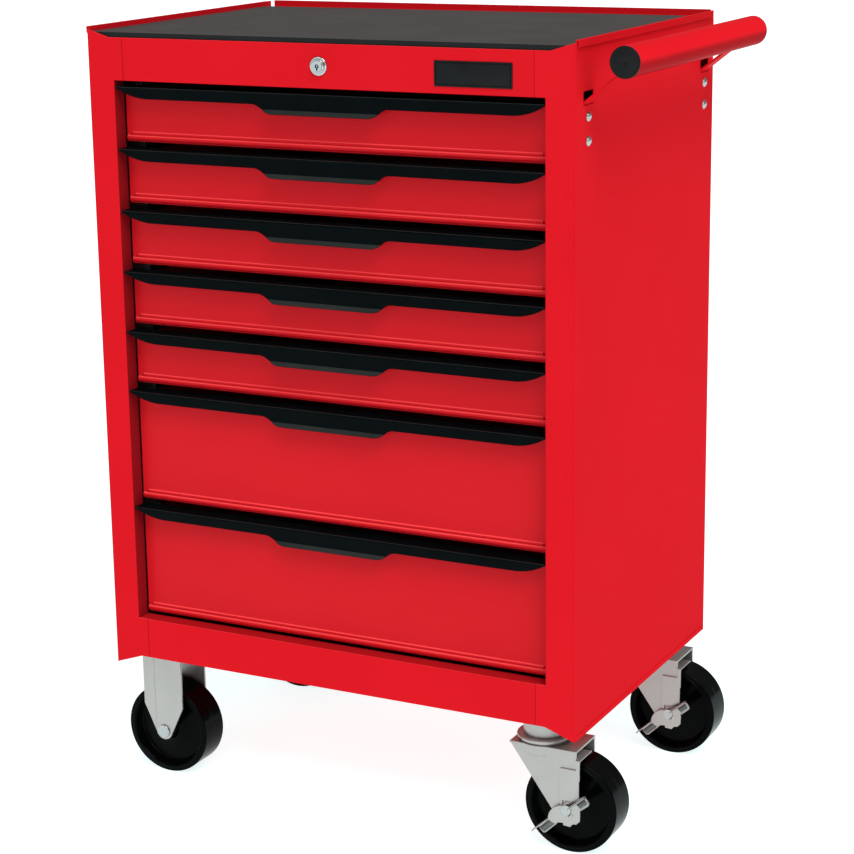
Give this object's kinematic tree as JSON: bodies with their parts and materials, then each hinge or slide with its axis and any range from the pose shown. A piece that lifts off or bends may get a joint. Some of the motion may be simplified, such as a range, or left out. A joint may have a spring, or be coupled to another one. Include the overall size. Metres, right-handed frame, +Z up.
{
  "type": "rolling tool box",
  "caption": "Red steel rolling tool box: stacked drawers with full-width black finger pulls, matted top, side push handle, and fixed and braked swivel casters.",
  "frame": {"origin": "on the floor, under the centre of the overall box", "axes": "+X to the side with the push handle, -Y out of the drawer fronts, +Z up"},
  "size_m": [0.7624, 0.468, 1.0275],
  "materials": {
    "red_paint": "gloss powder coat",
    "mat_rubber": "fine-ribbed matte",
    "black_paint": "satin",
    "zinc_sheet": "bright zinc",
    "caster_zinc": "bright zinc",
    "bolt_steel": "bright",
    "lock_chrome": "polished",
    "black_plastic": "satin",
    "wheel_plastic": "semi-gloss"
  },
  "bodies": {
    "cabinet": {"left_side_panel": "red_paint", "right_side_panel": "red_paint", "back_panel": "red_paint", "base_pan": "red_paint", "top_tray": "red_paint", "lock_rail": "red_paint", "top_mat": "mat_rubber", "slide_uprights": "zinc_sheet", "slide_cabinet_members": "zinc_sheet", "lock_housing": "lock_chrome", "handle_tube": "red_paint", "handle_end_caps": "black_plastic", "handle_brackets": "red_paint", "handle_bolts": "bolt_steel", "fixed_forks": "caster_zinc", "fixed_axles": "bolt_steel", "swivel_plates": "caster_zinc", "caster_bolts": "bolt_steel"},
    "drawer_1": {"drawer_1_box": "red_paint", "drawer_1_pull": "black_paint", "drawer_1_slides": "zinc_sheet"},
    "slide_middle_1": {"slide_middle_1": "zinc_sheet"},
    "drawer_2": {"drawer_2_box": "red_paint", "drawer_2_pull": "black_paint", "drawer_2_slides": "zinc_sheet"},
    "slide_middle_2": {"slide_middle_2": "zinc_sheet"},
    "drawer_3": {"drawer_3_box": "red_paint", "drawer_3_pull": "black_paint", "drawer_3_slides": "zinc_sheet"},
    "slide_middle_3": {"slide_middle_3": "zinc_sheet"},
    "drawer_4": {"drawer_4_box": "red_paint", "drawer_4_pull": "black_paint", "drawer_4_slides": "zinc_sheet"},
    "slide_middle_4": {"slide_middle_4": "zinc_sheet"},
    "drawer_5": {"drawer_5_box": "red_paint", "drawer_5_pull": "black_paint", "drawer_5_slides": "zinc_sheet"},
    "slide_middle_5": {"slide_middle_5": "zinc_sheet"},
    "drawer_6": {"drawer_6_box": "red_paint", "drawer_6_pull": "black_paint", "drawer_6_slides": "zinc_sheet"},
    "slide_middle_6": {"slide_middle_6": "zinc_sheet"},
    "drawer_7": {"drawer_7_box": "red_paint", "drawer_7_pull": "black_paint", "drawer_7_slides": "zinc_sheet"},
    "slide_middle_7": {"slide_middle_7": "zinc_sheet"},
    "lock_plug": {"lock_plug": "lock_chrome"},
    "lock_bar": {"lock_bar": "zinc_sheet"},
    "fixed_wheel_front": {"fixed_wheel_front": "wheel_plastic"},
    "swivel_fork_front": {"swivel_fork_front": "caster_zinc", "swivel_axle_front": "bolt_steel"},
    "swivel_wheel_front": {"swivel_wheel_front": "wheel_plastic"},
    "brake_lever_front": {"brake_lever_front": "caster_zinc"},
    "brake_shoe_front": {"brake_shoe_front": "caster_zinc"},
    "fixed_wheel_rear": {"fixed_wheel_rear": "wheel_plastic"},
    "swivel_fork_rear": {"swivel_fork_rear": "caster_zinc", "swivel_axle_rear": "bolt_steel"},
    "swivel_wheel_rear": {"swivel_wheel_rear": "wheel_plastic"},
    "brake_lever_rear": {"brake_lever_rear": "caster_zinc"},
    "brake_shoe_rear": {"brake_shoe_rear": "caster_zinc"}
  },
  "joints": [
    {"name": "drawer_1_slide", "type": "slide", "parent": "cabinet", "child": "drawer_1", "axis": [0, -1, 0], "range_m": [0, 0.36]},
    {"name": "slide_middle_1_slide", "type": "slide", "parent": "cabinet", "child": "slide_middle_1", "axis": [0, -1, 0], "range_m": [0, 0.18]},
    {"name": "drawer_2_slide", "type": "slide", "parent": "cabinet", "child": "drawer_2", "axis": [0, -1, 0], "range_m": [0, 0.36]},
    {"name": "slide_middle_2_slide", "type": "slide", "parent": "cabinet", "child": "slide_middle_2", "axis": [0, -1, 0], "range_m": [0, 0.18]},
    {"name": "drawer_3_slide", "type": "slide", "parent": "cabinet", "child": "drawer_3", "axis": [0, -1, 0], "range_m": [0, 0.36]},
    {"name": "slide_middle_3_slide", "type": "slide", "parent": "cabinet", "child": "slide_middle_3", "axis": [0, -1, 0], "range_m": [0, 0.18]},
    {"name": "drawer_4_slide", "type": "slide", "parent": "cabinet", "child": "drawer_4", "axis": [0, -1, 0], "range_m": [0, 0.36]},
    {"name": "slide_middle_4_slide", "type": "slide", "parent": "cabinet", "child": "slide_middle_4", "axis": [0, -1, 0], "range_m": [0, 0.18]},
    {"name": "drawer_5_slide", "type": "slide", "parent": "cabinet", "child": "drawer_5", "axis": [0, -1, 0], "range_m": [0, 0.36]},
    {"name": "slide_middle_5_slide", "type": "slide", "parent": "cabinet", "child": "slide_middle_5", "axis": [0, -1, 0], "range_m": [0, 0.18]},
    {"name": "drawer_6_slide", "type": "slide", "parent": "cabinet", "child": "drawer_6", "axis": [0, -1, 0], "range_m": [0, 0.36]},
    {"name": "slide_middle_6_slide", "type": "slide", "parent": "cabinet", "child": "slide_middle_6", "axis": [0, -1, 0], "range_m": [0, 0.18]},
    {"name": "drawer_7_slide", "type": "slide", "parent": "cabinet", "child": "drawer_7", "axis": [0, -1, 0], "range_m": [0, 0.36]},
    {"name": "slide_middle_7_slide", "type": "slide", "parent": "cabinet", "child": "slide_middle_7", "axis": [0, -1, 0], "range_m": [0, 0.18]},
    {"name": "lock_bar_lift", "type": "slide", "parent": "cabinet", "child": "lock_bar", "axis": [0, 0, 1], "range_m": [0, 0.01414]},
    {"name": "lock_turn", "type": "hinge", "parent": "cabinet", "child": "lock_plug", "pos_m": [-0.03575, -0.229, 0.9863], "axis": [0, 1, 0], "range_deg": [0, 90]},
    {"name": "fixed_wheel_front_spin", "type": "hinge", "parent": "cabinet", "child": "fixed_wheel_front", "pos_m": [-0.31875, -0.176, 0.0625], "axis": [0, 1, 0], "continuous": true},
    {"name": "swivel_front_turn", "type": "hinge", "parent": "cabinet", "child": "swivel_fork_front", "pos_m": [0.24125, -0.176, 0.145], "axis": [0, 0, 1], "continuous": true},
    {"name": "swivel_wheel_front_spin", "type": "hinge", "parent": "swivel_fork_front", "child": "swivel_wheel_front", "pos_m": [0.28625, -0.176, 0.0625], "axis": [0, 1, 0], "continuous": true},
    {"name": "brake_lever_front_press", "type": "hinge", "parent": "swivel_fork_front", "child": "brake_lever_front", "pos_m": [0.28625, -0.211, 0.0625], "axis": [0, 1, 0], "range_deg": [0, 50]},
    {"name": "brake_shoe_front_drop", "type": "slide", "parent": "swivel_fork_front", "child": "brake_shoe_front", "axis": [0, 0, -1], "range_m": [0, 0.003]},
    {"name": "fixed_wheel_rear_spin", "type": "hinge", "parent": "cabinet", "child": "fixed_wheel_rear", "pos_m": [-0.31875, 0.181, 0.0625], "axis": [0, 1, 0], "continuous": true},
    {"name": "swivel_rear_turn", "type": "hinge", "parent": "cabinet", "child": "swivel_fork_rear", "pos_m": [0.24125, 0.181, 0.145], "axis": [0, 0, 1], "continuous": true},
    {"name": "swivel_wheel_rear_spin", "type": "hinge", "parent": "swivel_fork_rear", "child": "swivel_wheel_rear", "pos_m": [0.28625, 0.181, 0.0625], "axis": [0, 1, 0], "continuous": true},
    {"name": "brake_lever_rear_press", "type": "hinge", "parent": "swivel_fork_rear", "child": "brake_lever_rear", "pos_m": [0.28625, 0.146, 0.0625], "axis": [0, 1, 0], "range_deg": [0, 50]},
    {"name": "brake_shoe_rear_drop", "type": "slide", "parent": "swivel_fork_rear", "child": "brake_shoe_rear", "axis": [0, 0, -1], "range_m": [0, 0.003]}
  ],
  "couplings": [
    {"joint": "slide_middle_1_slide", "follows": "drawer_1_slide", "ratio": 0.5},
    {"joint": "slide_middle_2_slide", "follows": "drawer_2_slide", "ratio": 0.5},
    {"joint": "slide_middle_3_slide", "follows": "drawer_3_slide", "ratio": 0.5},
    {"joint": "slide_middle_4_slide", "follows": "drawer_4_slide", "ratio": 0.5},
    {"joint": "slide_middle_5_slide", "follows": "drawer_5_slide", "ratio": 0.5},
    {"joint": "slide_middle_6_slide", "follows": "drawer_6_slide", "ratio": 0.5},
    {"joint": "slide_middle_7_slide", "follows": "drawer_7_slide", "ratio": 0.5},
    {"joint": "lock_turn", "follows": "lock_bar_lift", "rad_per_m": 111.07},
    {"joint": "brake_shoe_front_drop", "follows": "brake_lever_front_press", "m_per_rad": 0.00339},
    {"joint": "brake_shoe_rear_drop", "follows": "brake_lever_rear_press", "m_per_rad": 0.00339}
  ]
}
